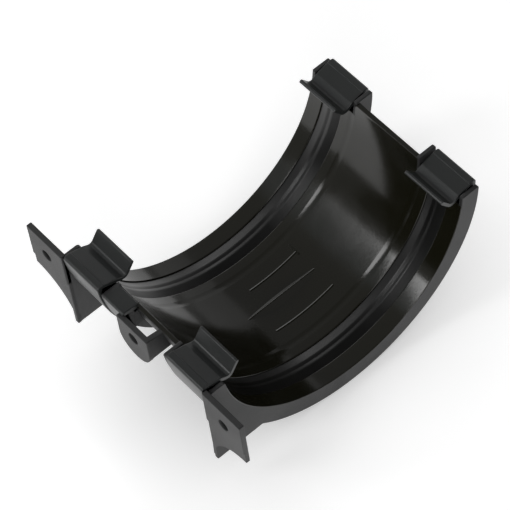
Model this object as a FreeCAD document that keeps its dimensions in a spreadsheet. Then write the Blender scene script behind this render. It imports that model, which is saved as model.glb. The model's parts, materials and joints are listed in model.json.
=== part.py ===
"""Union bracket for half-round gutter: a clip-in moulding that joins two gutter ends, with its two seals.

Frame: X runs along the gutter, Y from the fascia to the front, Z up. The origin lies in the fascia plane, midway
between the ear screws. The bodies are drawn about the gutter's axis and placed from there.
Sizes are in millimetres. A size called a drop is measured down from the gutter's axis.
"""
import FreeCAD
import Part
import Sketcher

import math
import os
from collections import namedtuple

SIZES = {
    # Gutter and trough
    "gutter_radius": 56.0,
    "gutter_clearance": 1.0,
    "trough_wall": 2.0,
    "bracket_length": 82.6,
    "front_rim_drop": 5.4,
    "rear_rim_drop": 7.2,
    # Collars: an end flange and an inner rib, with a clip bay between them
    "flange_rise": 8.3,
    "flange_thickness": 1.8,
    "flange_front_drop": 6.4,
    "flange_rear_drop": 4.8,
    "rib_thickness": 1.8,
    "rib_front_drop": 4.6,
    "rib_rear_drop": 5.0,
    "corner_round": 0.8,
    "flange_end_round": 1.6,
    "bay_floor_drop": 6.2,
    # Spring clips
    "clip_length": 19.4,
    "clip_slit": 0.9,
    "clip_thickness": 1.8,
    "clip_front_drop": 4.8,
    "clip_rear_drop": 2.6,
    "clip_shoulder": 1.2,
    "clip_inner_bend": 0.8,
    "clip_bulge": 0.5,
    "clip_ledge": 0.3,
    "ledge_run": 2.9,
    "clip_root_angle": 30.0,
    "clip_root_span": 3.5,
    "plate_run": 8.2,
    "plate_fall": 1.6,
    "plate_bend": 0.5,
    "hook_run": 11.6,
    "hook_fall": 3.6,
    "hook_flat": 2.0,
    "hook_depth": 1.4,
    "lip_run": 16.0,
    "lip_rise": 1.6,
    "lip_edge": 1.1,
    # Seals and their grooves
    "groove_setback": 7.2,
    "groove_width": 10.0,
    "groove_depth": 3.0,
    "groove_wall": 1.8,
    "seal_fit": 0.1,
    "seal_edge": 2.4,
    "seal_proud": 0.3,
    "ridge_pitch": 3.5,
    "ridge_flat": 0.5,
    "seal_valley": 0.8,
    "seal_sweep_angle": 156.0,
    # Fascia side: screw ears
    "fascia_reach": 66.3,
    "ear_reach": 18.6,
    "ear_thickness": 2.3,
    "ear_drop": 3.2,
    "ear_side": 24.2,
    "ear_step_drop": 21.0,
    "ear_step_depth": 0.5,
    "ear_hole_inset": 10.0,
    "screw_drop": 12.6,
    "screw_hole_radius": 2.5,
    # Fascia side: middle lug and the cover beside it
    "lug_half_width": 8.6,
    "lug_thickness": 2.2,
    "lug_drop": 6.1,
    "lug_round_drop": 15.8,
    "lug_side_wall": 2.4,
    "lug_side_drop": 18.0,
    "lug_tuck": 0.3,
    "cover_drop": 5.0,
    "cover_thickness": 2.6,
    "cover_foot_drop": 18.0,
    "cover_seat": 0.6,
    "cover_lap": 2.0,
    # Middle stop fin on the trough's floor
    "fin_thickness": 0.8,
    "fin_half_angle": 17.0,
    "fin_root": 0.5,
}

# Lengths worked out from the sheet, as expressions.
INNER = "(Sizes.gutter_radius + Sizes.gutter_clearance)"
WALL_OUT = f"({INNER} + Sizes.trough_wall)"
ANCHOR = f"({INNER} + Sizes.trough_wall / 2)"
RIM = f"({INNER} + Sizes.flange_rise)"
CLIP_RIM = f"({RIM} + Sizes.clip_bulge)"
END = "(Sizes.bracket_length / 2)"
FLANGE_IN = f"({END} - Sizes.flange_thickness)"
BAY_LENGTH = "(Sizes.clip_length + 2 * Sizes.clip_slit)"
BAY_IN = f"({FLANGE_IN} - {BAY_LENGTH})"
RIB_IN = f"({BAY_IN} - Sizes.rib_thickness)"
GROOVE_OUT = f"({END} - Sizes.groove_setback)"
GROOVE_IN = f"({GROOVE_OUT} - Sizes.groove_width)"
GROOVE_RADIUS = f"({INNER} + Sizes.groove_depth)"
CLIP_SEAT = f"({GROOVE_RADIUS} + Sizes.groove_wall / 2)"
EAR_OUT = f"({END} + Sizes.ear_reach)"
EAR_CURVE = "(Sizes.ear_reach + Sizes.flange_thickness)"
EAR_LOW = "(Sizes.ear_drop + Sizes.ear_side)"
EAR_TIP = f"({EAR_LOW} + {EAR_CURVE})"
LUG_WALL_IN = "(Sizes.lug_half_width - Sizes.lug_side_wall)"
CUT_MARGIN = "5"
EDGE_TOLERANCE = 0.05

Corner = namedtuple("Corner", "u v bind")
Arc = namedtuple("Arc", "centre_u centre_v radius turn")


def corner(u, v, bind="uv"):
    """A point of an outline, with the coordinates that the sheet sets; a point on an arc has one of them."""
    return Corner(u, v, bind)


def round_axis(radius, turn):
    """An arc round the gutter's axis."""
    return Arc("0", "0", radius, turn)


def down(drop):
    return f"-({drop})"


def chord(radius, drop):
    """How far out a circle round the axis is at a given drop."""
    return f"sqrt({radius}^2 - ({drop})^2)"


def make_sheet(doc):
    sheet = doc.addObject("Spreadsheet::Sheet", "Sizes")
    for row, (alias, value) in enumerate(SIZES.items(), start=1):
        sheet.set(f"A{row}", alias.replace("_", " "))
        sheet.set(f"B{row}", str(value))
        sheet.setAlias(f"B{row}", alias)
    doc.recompute()
    return sheet


def make_body(doc, label):
    """A body drawn about the gutter's axis, which lies out from the fascia and above the screws."""
    body = doc.addObject("PartDesign::Body", label)
    body.Label = label
    body.setExpression(".Placement.Base.y", "Sizes.fascia_reach")
    body.setExpression(".Placement.Base.z", "Sizes.screw_drop")
    return body


def plane_of(body, role):
    return next(item for item in body.Origin.OriginFeatures if item.Role == role)


def new_sketch(body, name, role, offset="0"):
    """A sketch on one of the body's own origin planes, moved along the plane's normal."""
    sketch = body.newObject("Sketcher::SketchObject", name)
    sketch.AttachmentSupport = [(plane_of(body, role), "")]
    sketch.MapMode = "FlatFace"
    sketch.setExpression(".AttachmentOffset.Base.z", offset)
    return sketch


def bind(sketch, kind, *where, expression):
    """Adds a dimension and ties it to the sheet."""
    value = float(sketch.evalExpression(expression))
    index = sketch.addConstraint(Sketcher.Constraint(kind, *where, value))
    sketch.setExpression(f"Constraints[{index}]", expression)


def outline(sketch, corners, arcs=None):
    """Draws a closed outline; an arc under a corner's number joins it to the next corner, else a line does."""
    arcs = arcs or {}
    places = [
        FreeCAD.Vector(float(sketch.evalExpression(c.u)), float(sketch.evalExpression(c.v)), 0)
        for c in corners
    ]
    starts = []
    ends = []
    for number, start in enumerate(places):
        end = places[(number + 1) % len(places)]
        arc = arcs.get(number)
        if arc is None:
            sketch.addGeometry(Part.LineSegment(start, end))
            starts.append(1)
            ends.append(2)
            continue
        middle = FreeCAD.Vector(
            float(sketch.evalExpression(arc.centre_u)), float(sketch.evalExpression(arc.centre_v)), 0
        )
        circle = Part.Circle(middle, FreeCAD.Vector(0, 0, 1), (start - middle).Length)
        first, last = (start, end) if arc.turn == "left" else (end, start)
        first_angle = math.atan2(first.y - middle.y, first.x - middle.x)
        last_angle = math.atan2(last.y - middle.y, last.x - middle.x)
        sketch.addGeometry(Part.ArcOfCircle(circle, first_angle, last_angle))
        starts.append(1 if arc.turn == "left" else 2)
        ends.append(2 if arc.turn == "left" else 1)
    for number in range(len(corners)):
        following = (number + 1) % len(corners)
        sketch.addConstraint(
            Sketcher.Constraint("Coincident", number, ends[number], following, starts[following])
        )
    for number, arc in arcs.items():
        if (arc.centre_u, arc.centre_v) == ("0", "0"):
            sketch.addConstraint(Sketcher.Constraint("Coincident", number, 3, -1, 1))
        else:
            bind(sketch, "DistanceX", -1, 1, number, 3, expression=arc.centre_u)
            bind(sketch, "DistanceY", -1, 1, number, 3, expression=arc.centre_v)
        if arc.radius:
            bind(sketch, "Radius", number, expression=arc.radius)
    for number, point in enumerate(corners):
        if "u" in point.bind:
            bind(sketch, "DistanceX", -1, 1, number, starts[number], expression=point.u)
        if "v" in point.bind:
            bind(sketch, "DistanceY", -1, 1, number, starts[number], expression=point.v)


def circle(sketch, u, v, radius):
    centre = FreeCAD.Vector(float(sketch.evalExpression(u)), float(sketch.evalExpression(v)), 0)
    size = float(sketch.evalExpression(radius))
    sketch.addGeometry(Part.Circle(centre, FreeCAD.Vector(0, 0, 1), size))
    bind(sketch, "DistanceX", -1, 1, 0, 3, expression=u)
    bind(sketch, "DistanceY", -1, 1, 0, 3, expression=v)
    bind(sketch, "Radius", 0, expression=radius)


def pad(body, sketch, length, back=False):
    feature = body.newObject("PartDesign::Pad", sketch.Name + "_pad")
    feature.Profile = sketch
    feature.setExpression("Length", length)
    feature.Reversed = back
    body.Tip = feature
    return feature


def pocket(body, sketch, length, back=False):
    feature = body.newObject("PartDesign::Pocket", sketch.Name + "_pocket")
    feature.Profile = sketch
    feature.setExpression("Length", length)
    feature.Reversed = back
    body.Tip = feature
    return feature


def half_ring(sketch, inner, outer, front_drop, rear_drop):
    """A half-round band open at the top, with level ends at the front and the rear."""
    outline(
        sketch,
        [
            corner(chord(inner, front_drop), down(front_drop), "v"),
            corner("-" + chord(inner, rear_drop), down(rear_drop), "v"),
            corner("-" + chord(outer, rear_drop), down(rear_drop), "v"),
            corner(chord(outer, front_drop), down(front_drop), "v"),
        ],
        {0: round_axis(inner, "right"), 2: round_axis(outer, "left")},
    )


def add_trough(body):
    sketch = new_sketch(body, "trough", "YZ_Plane")
    half_ring(sketch, INNER, WALL_OUT, "Sizes.front_rim_drop", "Sizes.rear_rim_drop")
    pad(body, sketch, END)


def add_collar(body):
    """The end flange, which reaches back to the fascia as a gusset, and the inner rib."""
    flange = new_sketch(body, "flange", "YZ_Plane", FLANGE_IN)
    outline(
        flange,
        [
            corner(chord(INNER, "Sizes.flange_front_drop"), down("Sizes.flange_front_drop"), "v"),
            corner("-" + chord(INNER, "Sizes.flange_rear_drop"), down("Sizes.flange_rear_drop"), "v"),
            corner("-Sizes.fascia_reach", down("Sizes.flange_rear_drop")),
            corner("-Sizes.fascia_reach", down(EAR_TIP)),
            corner("-" + chord(RIM, EAR_TIP), down(EAR_TIP), "v"),
            corner(chord(RIM, "Sizes.flange_front_drop"), down("Sizes.flange_front_drop"), "v"),
        ],
        {0: round_axis(INNER, "right"), 4: round_axis(RIM, "left")},
    )
    pad(body, flange, "Sizes.flange_thickness")
    rib = new_sketch(body, "rib", "YZ_Plane", RIB_IN)
    half_ring(rib, INNER, RIM, "Sizes.rib_front_drop", "Sizes.rib_rear_drop")
    pad(body, rib, "Sizes.rib_thickness")


def add_groove(body):
    """The seal's groove, with the trough wall bulging out behind it."""
    bulge = new_sketch(body, "bulge", "YZ_Plane", f"{GROOVE_IN} - Sizes.groove_wall")
    half_ring(
        bulge,
        INNER,
        f"({GROOVE_RADIUS} + Sizes.groove_wall)",
        "Sizes.front_rim_drop",
        "Sizes.rear_rim_drop",
    )
    pad(body, bulge, "Sizes.groove_width + 2 * Sizes.groove_wall")
    groove = new_sketch(body, "groove", "YZ_Plane", GROOVE_IN)
    half_ring(groove, f"({INNER} - {CUT_MARGIN})", GROOVE_RADIUS, "0", "0")
    pocket(body, groove, "Sizes.groove_width", back=True)


def cut_clip_bay(body, name, side, clip_drop):
    """Lowers the trough's rim between the flange and the rib, where a clip stands."""
    floor = f"({clip_drop} + Sizes.bay_floor_drop)"
    sketch = new_sketch(body, name, "YZ_Plane", BAY_IN)
    inside = f"{side}({INNER} - {CUT_MARGIN})"
    outside = f"{side}({RIM} - Sizes.clip_thickness)"
    outline(
        sketch,
        [
            corner(inside, "0"),
            corner(outside, "0"),
            corner(outside, down(floor)),
            corner(inside, down(floor)),
        ],
    )
    pocket(body, sketch, BAY_LENGTH, back=True)


def add_clip(body, name, side, drop):
    """A spring clip: a tongue up the outside, a stepped plate over the gutter's edge, a hook and a finger lip."""
    outward, inward = ("left", "right") if side == "" else ("right", "left")
    skin = f"({CLIP_RIM} - Sizes.clip_thickness)"
    thick = "Sizes.clip_thickness"
    shoulder = f"({drop} + Sizes.clip_shoulder)"
    shoulder_u = f"({chord(CLIP_RIM, shoulder)} - Sizes.clip_shoulder)"
    inner_bend = f"({drop} + {thick} + Sizes.clip_inner_bend)"
    inner_bend_u = f"({chord(skin, inner_bend)} - Sizes.clip_inner_bend)"
    ledge_u = f"({RIM} - Sizes.ledge_run)"
    root_low = "(Sizes.clip_root_angle + Sizes.clip_root_span)"
    plate_v = f"({drop} + Sizes.plate_fall)"
    hook_v = f"({drop} + Sizes.hook_fall)"
    hook_low = f"({hook_v} + Sizes.hook_depth)"
    lip_v = f"({drop} - Sizes.lip_rise)"
    sketch = new_sketch(body, name, "YZ_Plane", f"{BAY_IN} + Sizes.clip_slit")
    outline(
        sketch,
        [
            corner(f"{side}{CLIP_RIM} * cos({root_low})", f"-{CLIP_RIM} * sin({root_low})", "v"),
            corner(f"{side}{chord(CLIP_RIM, shoulder)}", down(shoulder), "v"),
            corner(f"{side}{shoulder_u}", down(drop), "u"),
            corner(f"{side}{ledge_u}", down(drop)),
            corner(f"{side}{ledge_u}", down(f"{drop} + Sizes.clip_ledge")),
            corner(f"{side}({RIM} - Sizes.plate_run)", down(plate_v)),
            corner(f"{side}({RIM} - Sizes.hook_run)", down(hook_v)),
            corner(f"{side}({RIM} - Sizes.lip_run)", down(lip_v)),
            corner(f"{side}({RIM} - Sizes.lip_run - Sizes.lip_edge)", down(f"{lip_v} + Sizes.lip_edge")),
            corner(f"{side}({RIM} - Sizes.hook_run - Sizes.hook_flat / 2)", down(hook_low)),
            corner(f"{side}({RIM} - Sizes.hook_run + Sizes.hook_flat / 2)", down(hook_low)),
            corner(f"{side}({RIM} - Sizes.plate_run + Sizes.plate_bend)", down(f"{plate_v} + {thick}")),
            corner(f"{side}{inner_bend_u}", down(f"{drop} + {thick}")),
            corner(f"{side}{chord(skin, inner_bend)}", down(inner_bend), "v"),
            corner(
                f"{side}{skin} * cos(Sizes.clip_root_angle)",
                f"-{skin} * sin(Sizes.clip_root_angle)",
                "v",
            ),
            corner(
                f"{side}{CLIP_SEAT} * cos(Sizes.clip_root_angle)",
                f"-{CLIP_SEAT} * sin(Sizes.clip_root_angle)",
            ),
            corner(f"{side}{CLIP_SEAT} * cos({root_low})", f"-{CLIP_SEAT} * sin({root_low})"),
        ],
        {
            0: round_axis(CLIP_RIM, outward),
            1: Arc(f"{side}{shoulder_u}", down(shoulder), None, outward),
            13: round_axis(skin, inward),
        },
    )
    pad(body, sketch, "Sizes.clip_length")


def add_ear(body):
    """A screw ear in the fascia plane, hollowed below to a point, with a shallow step across its back."""
    plate = new_sketch(body, "ear", "XZ_Plane", "Sizes.fascia_reach")
    outline(
        plate,
        [
            corner(FLANGE_IN, down("Sizes.ear_drop")),
            corner(FLANGE_IN, down(EAR_TIP), "v"),
            corner(EAR_OUT, down(EAR_LOW), "u"),
            corner(EAR_OUT, down("Sizes.ear_drop"), "v"),
        ],
        {1: Arc(EAR_OUT, down(EAR_TIP), EAR_CURVE, "right")},
    )
    pad(body, plate, "Sizes.ear_thickness", back=True)
    step = new_sketch(body, "ear_step", "XZ_Plane", "Sizes.fascia_reach")
    outline(
        step,
        [
            corner(f"({FLANGE_IN} - {CUT_MARGIN})", down("Sizes.ear_step_drop")),
            corner(f"({EAR_OUT} + {CUT_MARGIN})", down("Sizes.ear_step_drop")),
            corner(f"({EAR_OUT} + {CUT_MARGIN})", down(f"{EAR_TIP} + {CUT_MARGIN}")),
            corner(f"({FLANGE_IN} - {CUT_MARGIN})", down(f"{EAR_TIP} + {CUT_MARGIN}")),
        ],
    )
    pocket(body, step, "Sizes.ear_step_depth")
    hole = new_sketch(body, "ear_hole", "XZ_Plane", "Sizes.fascia_reach")
    circle(hole, f"({EAR_OUT} - Sizes.ear_hole_inset)", down("Sizes.screw_drop"), "Sizes.screw_hole_radius")
    pocket(body, hole, "Sizes.ear_thickness")


def add_lug_wall(body):
    """One side wall of the middle lug, from the fascia plane to the trough."""
    sketch = new_sketch(body, "lug_wall", "YZ_Plane", LUG_WALL_IN)
    rim = "(Sizes.rear_rim_drop + Sizes.lug_tuck)"
    outline(
        sketch,
        [
            corner("-Sizes.fascia_reach", down("Sizes.lug_drop")),
            corner("-Sizes.fascia_reach", down("Sizes.lug_side_drop")),
            corner("-" + chord(ANCHOR, "Sizes.lug_side_drop"), down("Sizes.lug_side_drop"), "v"),
            corner("-" + chord(ANCHOR, rim), down(rim), "v"),
        ],
        {2: round_axis(ANCHOR, "right")},
    )
    pad(body, sketch, "Sizes.lug_side_wall")


def add_lug_plate(body):
    """The lug's back plate, with a round foot and a screw hole."""
    plate = new_sketch(body, "lug", "XZ_Plane", "Sizes.fascia_reach")
    outline(
        plate,
        [
            corner("Sizes.lug_half_width", down("Sizes.lug_drop")),
            corner("-Sizes.lug_half_width", down("Sizes.lug_drop")),
            corner("-Sizes.lug_half_width", down("Sizes.lug_round_drop"), "v"),
            corner("Sizes.lug_half_width", down("Sizes.lug_round_drop"), "v"),
        ],
        {2: Arc("0", down("Sizes.lug_round_drop"), "Sizes.lug_half_width", "left")},
    )
    pad(body, plate, "Sizes.lug_thickness", back=True)
    hole = new_sketch(body, "lug_hole", "XZ_Plane", "Sizes.fascia_reach")
    circle(hole, "0", down("Sizes.screw_drop"), "Sizes.screw_hole_radius")
    pocket(body, hole, "Sizes.lug_thickness")


def add_cover(body):
    """The cover between the lug and the left collar: a top and a back, open below."""
    skin = f"({RIM} - Sizes.cover_thickness)"
    seat = f"({INNER} + Sizes.cover_seat)"
    foot = "(Sizes.rear_rim_drop + Sizes.cover_lap)"
    under = "(Sizes.cover_drop + Sizes.cover_thickness)"
    sketch = new_sketch(body, "cover", "YZ_Plane", f"-({RIB_IN})")
    outline(
        sketch,
        [
            corner("-" + chord(RIM, "Sizes.cover_foot_drop"), down("Sizes.cover_foot_drop"), "v"),
            corner("-" + chord(RIM, "Sizes.cover_drop"), down("Sizes.cover_drop"), "v"),
            corner(f"-{seat}", down("Sizes.cover_drop")),
            corner(f"-{seat}", down(foot)),
            corner(f"-({seat} + Sizes.cover_thickness)", down(foot)),
            corner(f"-({seat} + Sizes.cover_thickness)", down(under)),
            corner("-" + chord(skin, under), down(under), "v"),
            corner("-" + chord(skin, "Sizes.cover_foot_drop"), down("Sizes.cover_foot_drop"), "v"),
        ],
        {0: round_axis(RIM, "right"), 6: round_axis(skin, "left")},
    )
    pad(body, sketch, f"{RIB_IN} - {LUG_WALL_IN}")


def add_fin(body):
    """The flat-topped fin across the floor, against which both gutter ends stop."""
    root = f"({INNER} + Sizes.fin_root)"
    top = f"({INNER} * cos(Sizes.fin_half_angle))"
    sketch = new_sketch(body, "fin", "YZ_Plane", "-Sizes.fin_thickness / 2")
    outline(
        sketch,
        [
            corner(chord(root, top), down(top), "v"),
            corner("-" + chord(root, top), down(top), "v"),
        ],
        {1: round_axis(root, "left")},
    )
    pad(body, sketch, "Sizes.fin_thickness")


def round_corners(body, name, places, radius):
    """Rounds corners at the top of the flanges and ribs, found by where they are in the YZ plane."""
    base = body.Tip
    names = []
    for number, edge in enumerate(base.Shape.Edges, start=1):
        box = edge.BoundBox
        across = math.hypot(box.YLength, box.ZLength)
        middle = FreeCAD.Vector(0, box.Center.y, box.Center.z)
        near = any((middle - place).Length < EDGE_TOLERANCE for place in places)
        if across < EDGE_TOLERANCE and near:
            names.append(f"Edge{number}")
    feature = body.newObject("PartDesign::Fillet", name)
    feature.Base = (base, names)
    feature.setExpression("Radius", radius)
    body.Tip = feature


def on_circle(radius, drop, side):
    """The place on a circle round the axis at a given drop, at the front or the rear."""
    return FreeCAD.Vector(0, side * math.sqrt(radius**2 - drop**2), -drop)


def round_collars(body, sheet):
    """Rounds the outer top corners of the flanges and ribs, and the flanges' inner corner at the rear."""
    rim = float(sheet.evalExpression(RIM))
    inner = float(sheet.evalExpression(INNER))
    outer_corners = [
        on_circle(rim, sheet.flange_front_drop, 1),
        on_circle(rim, sheet.rib_front_drop, 1),
        on_circle(rim, sheet.rib_rear_drop, -1),
    ]
    round_corners(body, "collar_rounds", outer_corners, "Sizes.corner_round")
    body.Document.recompute()
    inner_corner = on_circle(inner, sheet.flange_rear_drop, -1)
    round_corners(body, "flange_end_rounds", [inner_corner], "Sizes.flange_end_round")


def mirror_whole(body):
    feature = body.newObject("PartDesign::Mirrored", "other_half")
    feature.TransformMode = "Whole shape"
    feature.MirrorPlane = (plane_of(body, "YZ_Plane"), [""])
    body.Tip = feature


def make_bracket(doc, sheet):
    body = make_body(doc, "bracket")
    add_trough(body)
    add_collar(body)
    doc.recompute()
    round_collars(body, sheet)
    add_groove(body)
    for name, side, drop in (
        ("front", "", "Sizes.clip_front_drop"),
        ("rear", "-", "Sizes.clip_rear_drop"),
    ):
        cut_clip_bay(body, name + "_bay", side, drop)
        add_clip(body, name + "_clip", side, drop)
    add_ear(body)
    add_lug_wall(body)
    doc.recompute()
    mirror_whole(body)
    add_lug_plate(body)
    add_cover(body)
    add_fin(body)
    return body


def make_seal(doc, label, hand):
    """A rubber strip with two low ridges, swept round the groove; hand is 1 at the right end and -1 at the left."""
    body = make_body(doc, label)
    middle = f"({hand} * ({GROOVE_IN} + Sizes.groove_width / 2))"
    half = "(Sizes.groove_width / 2 - Sizes.seal_fit)"
    foot = f"({GROOVE_RADIUS} - Sizes.seal_fit)"
    edge = f"({foot} - Sizes.seal_edge)"
    crown = f"({INNER} - Sizes.seal_proud)"
    valley = f"({crown} + Sizes.seal_valley)"
    far = "(Sizes.ridge_pitch / 2 + Sizes.ridge_flat / 2)"
    near = "(Sizes.ridge_pitch / 2 - Sizes.ridge_flat / 2)"
    sketch = new_sketch(body, label + "_section", "XZ_Plane")
    outline(
        sketch,
        [
            corner(f"{middle} - {half}", down(foot)),
            corner(f"{middle} + {half}", down(foot)),
            corner(f"{middle} + {half}", down(edge)),
            corner(f"{middle} + {far}", down(crown)),
            corner(f"{middle} + {near}", down(crown)),
            corner(middle, down(valley)),
            corner(f"{middle} - {near}", down(crown)),
            corner(f"{middle} - {far}", down(crown)),
            corner(f"{middle} - {half}", down(edge)),
        ],
    )
    feature = body.newObject("PartDesign::Revolution", label + "_sweep")
    feature.Profile = sketch
    feature.ReferenceAxis = (sketch, ["H_Axis"])
    feature.setExpression("Angle", "Sizes.seal_sweep_angle")
    feature.Midplane = True
    body.Tip = feature
    return body


def check(doc):
    for item in doc.Objects:
        if "Invalid" in item.State or "Error" in item.State:
            raise RuntimeError(f"{item.Label}: {item.State}")
        shape = getattr(item, "Shape", None)
        if shape is not None and item.isDerivedFrom("PartDesign::Feature"):
            if shape.isNull() or not shape.isValid():
                raise RuntimeError(f"{item.Label}: bad shape")


def main():
    doc = FreeCAD.newDocument("gutter_union_bracket")
    sheet = make_sheet(doc)
    nodes = [
        make_bracket(doc, sheet),
        make_seal(doc, "seal_left", -1),
        make_seal(doc, "seal_right", 1),
    ]
    doc.recompute()
    check(doc)
    os.makedirs("parts", exist_ok=True)
    for node in nodes:
        node.Shape.exportStep(f"parts/{node.Label}.step")


main()
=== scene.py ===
"""Dresses a half-round gutter union bracket: a black moulding, two rubber seals, a white table, soft light.

Sizes are in metres. Sections are drawn about the gutter's axis, and a drop is measured down from that axis.
"""
import json
import math

import bmesh
import bpy
from bpy.props import FloatProperty, FloatVectorProperty, PointerProperty
from bpy.types import Operator, Panel, PropertyGroup
from mathutils import Matrix, Vector

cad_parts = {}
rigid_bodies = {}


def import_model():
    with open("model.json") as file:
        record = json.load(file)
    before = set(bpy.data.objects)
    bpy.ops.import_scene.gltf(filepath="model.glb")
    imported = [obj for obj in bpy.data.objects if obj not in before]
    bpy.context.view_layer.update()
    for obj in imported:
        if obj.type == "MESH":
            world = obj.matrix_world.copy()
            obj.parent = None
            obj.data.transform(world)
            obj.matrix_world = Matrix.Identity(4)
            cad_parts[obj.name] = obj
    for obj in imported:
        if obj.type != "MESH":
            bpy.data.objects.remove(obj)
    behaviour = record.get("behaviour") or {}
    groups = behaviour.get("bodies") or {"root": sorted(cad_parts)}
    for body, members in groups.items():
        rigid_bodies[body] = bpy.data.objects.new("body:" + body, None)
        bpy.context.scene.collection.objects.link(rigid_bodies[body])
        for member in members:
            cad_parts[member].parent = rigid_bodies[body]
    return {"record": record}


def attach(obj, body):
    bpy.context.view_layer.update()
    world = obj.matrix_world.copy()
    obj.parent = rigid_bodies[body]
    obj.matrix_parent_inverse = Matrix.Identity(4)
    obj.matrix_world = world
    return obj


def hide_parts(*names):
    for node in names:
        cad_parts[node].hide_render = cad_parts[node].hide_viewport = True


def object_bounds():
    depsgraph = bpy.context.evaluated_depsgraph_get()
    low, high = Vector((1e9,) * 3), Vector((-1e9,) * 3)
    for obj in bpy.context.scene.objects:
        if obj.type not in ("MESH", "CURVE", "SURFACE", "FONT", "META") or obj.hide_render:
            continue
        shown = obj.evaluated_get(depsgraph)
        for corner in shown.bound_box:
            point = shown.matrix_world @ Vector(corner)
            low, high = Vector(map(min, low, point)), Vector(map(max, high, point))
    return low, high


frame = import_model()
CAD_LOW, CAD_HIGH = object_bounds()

bl_info = {
    "name": "Gutter Union Bracket",
    "version": (1, 0, 0),
    "blender": (4, 5, 0),
    "location": "View3D > Sidebar > Bracket",
    "description": "Builds a clip-in gutter union bracket with its seals, on a white table",
    "category": "Object",
}

MOUNTS = {mount["name"]: mount for mount in frame["record"]["mounts"]}
SCREWS = MOUNTS["fascia_screws"]["dims"]
AXIS = Vector(MOUNTS["gutter_seat"]["pos_m"])
MM = 0.001
PARTS = "Moulding Parts"
# Largest turn between two points of a rounded corner, and the angle from which an edge is shaded hard.
ROUND_STEP = math.radians(20)
SHARP = math.radians(38)
# Largest share of a side that one rounded corner takes, and the limit of an inset at sharp corners.
SIDE_SHARE = 0.49
MITRE = 0.3
# Degrees between two points of an ear's or the lug's curve.
ARC_STEP = 6
# Neighbouring parts of the moulding stay a few hairs apart, so that no two faces lie in one plane.
HAIR = 0.00001
FINE_EDGE = 0.0003
CLIP_EDGE = 0.00028
GROOVE_EDGE = 0.0004
# The joint of the trough's middle and sockets, measured in from the ribs' outer faces, and its hidden lap.
JOINT_INSET = 0.0017
JOINT_LAP = 0.0004
# The sink mark opposite a rib: its place from the rib's outer face, and half its section as (reach, depth).
SINK_SHIFT = 0.0003
SINK = ((0.0017, 0), (0.0014, 0.000012), (0.0004, 0.0001))
# Where the insertion lines start and end about the axis, in degrees, and the tick's ends from the left line.
LINE_START = -73
LINE_END_RIGHT = -102
LINE_END_LEFT = -97
TICK_ENDS = (-0.0045, 0.0017)
# Share of a fin's half thickness by which its crown is rounded.
FIN_CROWN = 0.36
# The clip's plate, hook and lip: corners inwards from the rim, up from the clip's top, and their roundings.
PLATE_RUN = 0.0076
PLATE_FALL = 0.0018
CLIP_CORNERS = (
    (0.0084, -PLATE_FALL, 0.0030),
    (0.0120, -0.0038, 0.0016),
    (0.0160, 0.0017, 0.0006),
    (0.0172, 0.0007, 0.0006),
    (0.0130, -0.0052, 0.0022),
    (0.0106, -0.0050, 0.0012),
)
# Marks of handling.
SMEAR_SCALE = 38.0
DUST_COLOUR = (0.11, 0.11, 0.105, 1)
DUST_SHARE = 0.25
# The room is dimmer on one side: the span of the change along X, and the share of the light that is left.
ROOM_FADE = (-0.5, -0.05)
ROOM_DIM = 0.15
TABLE_REACH = 3
# Each lamp's name, place from the bracket's middle, width, height, power and tint.
WHITE = (1, 1, 1)
LAMPS = (
    ("key_softbox", (0.99, -0.66, 0.6), 0.8, 0.6, 5.0, WHITE),
    ("side_window", (-1.16, 0.31, 0.52), 1.1, 0.7, 3.5, WHITE),
    ("right_glow", (1.1, 0.45, 0.52), 0.9, 0.6, 0.4, WHITE),
    ("front_glow", (-0.55, 1.05, 0.45), 0.8, 0.6, 0.35, WHITE),
    ("rear_window", (-0.36, -0.84, 0.77), 0.25, 0.55, 2.6, WHITE),
    ("rear_glow", (-0.6, -0.71, 0.75), 0.4, 0.5, 0.1, (0.75, 0.9, 1.0)),
)
# Turns a section drawn in (Y, Z) so that it is drawn out along X, or one in (X, Z) along Y.
ALONG_X = Matrix(((0, 0, 1, 0), (1, 0, 0, 0), (0, 1, 0, 0), (0, 0, 0, 1)))
ALONG_Y = Matrix(((1, 0, 0, 0), (0, 0, -1, 0), (0, 1, 0, 0), (0, 0, 0, 1)))


def length(name, description, millimetres):
    return FloatProperty(
        name=name, description=description, default=millimetres / 1000, unit="LENGTH", precision=5
    )


def turn(name, description, degrees):
    return FloatProperty(name=name, description=description, default=math.radians(degrees), subtype="ANGLE")


def colour(name, description, value):
    return FloatVectorProperty(
        name=name, description=description, default=value, subtype="COLOR", size=3, min=0, max=1
    )


def share(name, description, value):
    return FloatProperty(name=name, description=description, default=value, min=0, max=1, subtype="FACTOR")


class TroughSizes(PropertyGroup):
    inner_radius: length("Inner radius", "Radius of the seat that the gutter lies in", 57.0)
    wall: length("Wall", "Thickness of the trough", 2.0)
    end: length("Half length", "From the middle to the end face", 41.3)
    front_rim_drop: length("Front rim drop", "From the axis down to the front rim", 5.4)
    rear_rim_drop: length("Rear rim drop", "From the axis down to the rear rim", 7.2)
    fin_thickness: length("Fin thickness", "Thickness of the stop fin on the floor", 0.8)
    fin_half_angle: turn("Fin half angle", "Half of the fin's span about the axis", 17.0)
    fin_spread: share("Fin spread", "How far each flank of the fin runs out for its height", 0.85)
    line_width: length("Line width", "Width of the raised insertion lines", 0.9)
    line_height: length("Line height", "Height of the raised insertion lines", 0.22)
    line_inset: length("Line inset", "From the middle to an insertion line", 10.5)
    edge: length("Edge", "Rounding of the moulded edges", 0.35)


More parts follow.
